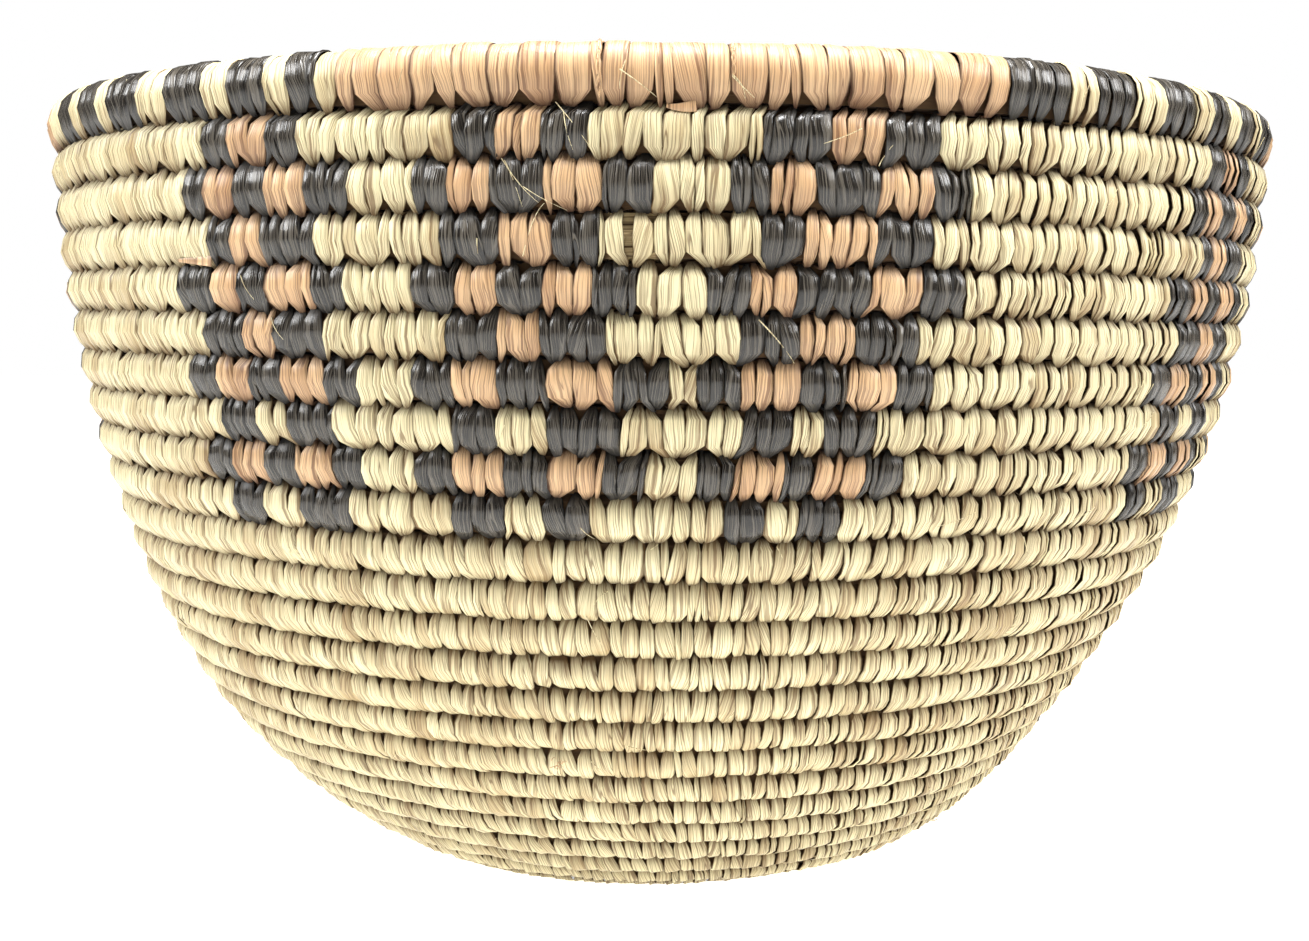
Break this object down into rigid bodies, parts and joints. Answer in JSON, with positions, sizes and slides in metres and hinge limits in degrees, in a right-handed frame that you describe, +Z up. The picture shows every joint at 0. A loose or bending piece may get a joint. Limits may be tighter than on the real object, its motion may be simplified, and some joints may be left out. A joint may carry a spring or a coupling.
{
  "type": "coiled basket bowl",
  "caption": "Deep round bowl of coiled grass, wrapped and sewn with palm-leaf strips, with a rounded wall, a small flat base and a thicker bound rim.",
  "frame": {"origin": "centre of the footprint, on the surface that the bowl stands on", "axes": "+Z up out of the bowl's mouth, -Y towards the front that the picture shows, +X to the right of it"},
  "size_m": [0.3026, 0.3016, 0.1809],
  "materials": {
    "natural_palm": "matt, pale straw palm-leaf strip with fine fibres",
    "brown_palm": "matt, warm brown dyed palm-leaf strip",
    "black_palm": "matt to satin, black dyed palm-leaf strip",
    "dry_grass": "matt bundle of dry grass stems"
  },
  "bodies": {
    "root": {"start_knot": "natural_palm", "grass_core": "dry_grass", "base_row_01": "natural_palm", "base_row_02": "natural_palm", "base_row_03": "natural_palm", "base_row_04": "natural_palm", "base_row_05": "natural_palm", "base_row_06": "natural_palm", "base_row_07": "natural_palm", "base_row_08": "natural_palm", "wall_row_01": "natural_palm", "wall_row_02": "natural_palm", "wall_row_03": "natural_palm", "wall_row_04": "natural_palm", "wall_row_05": "natural_palm", "wall_row_06": "natural_palm", "wall_row_07": "natural_palm", "wall_row_08": "natural_palm", "wall_row_09": "natural_palm", "wall_row_10": "natural_palm", "wall_row_11": "natural_palm", "wall_row_12": "natural_palm", "wall_row_13": "natural_palm", "wall_row_14": "natural_palm", "wall_row_15": "natural_palm", "wall_row_16": "natural_palm", "wall_row_17": "natural_palm", "wall_row_18": "natural_palm", "wall_row_19": "natural_palm", "wall_row_20": "natural_palm", "wall_row_21": "natural_palm", "wall_row_22": "natural_palm", "rim_brown_binding_1": "brown_palm", "rim_brown_binding_2": "brown_palm", "rim_brown_binding_3": "brown_palm", "rim_brown_binding_4": "brown_palm", "rim_brown_binding_5": "brown_palm", "rim_ticked_binding_1": "black_palm", "rim_ticked_binding_2": "black_palm", "rim_ticked_binding_3": "black_palm", "rim_ticked_binding_4": "black_palm"}
  },
  "joints": []
}
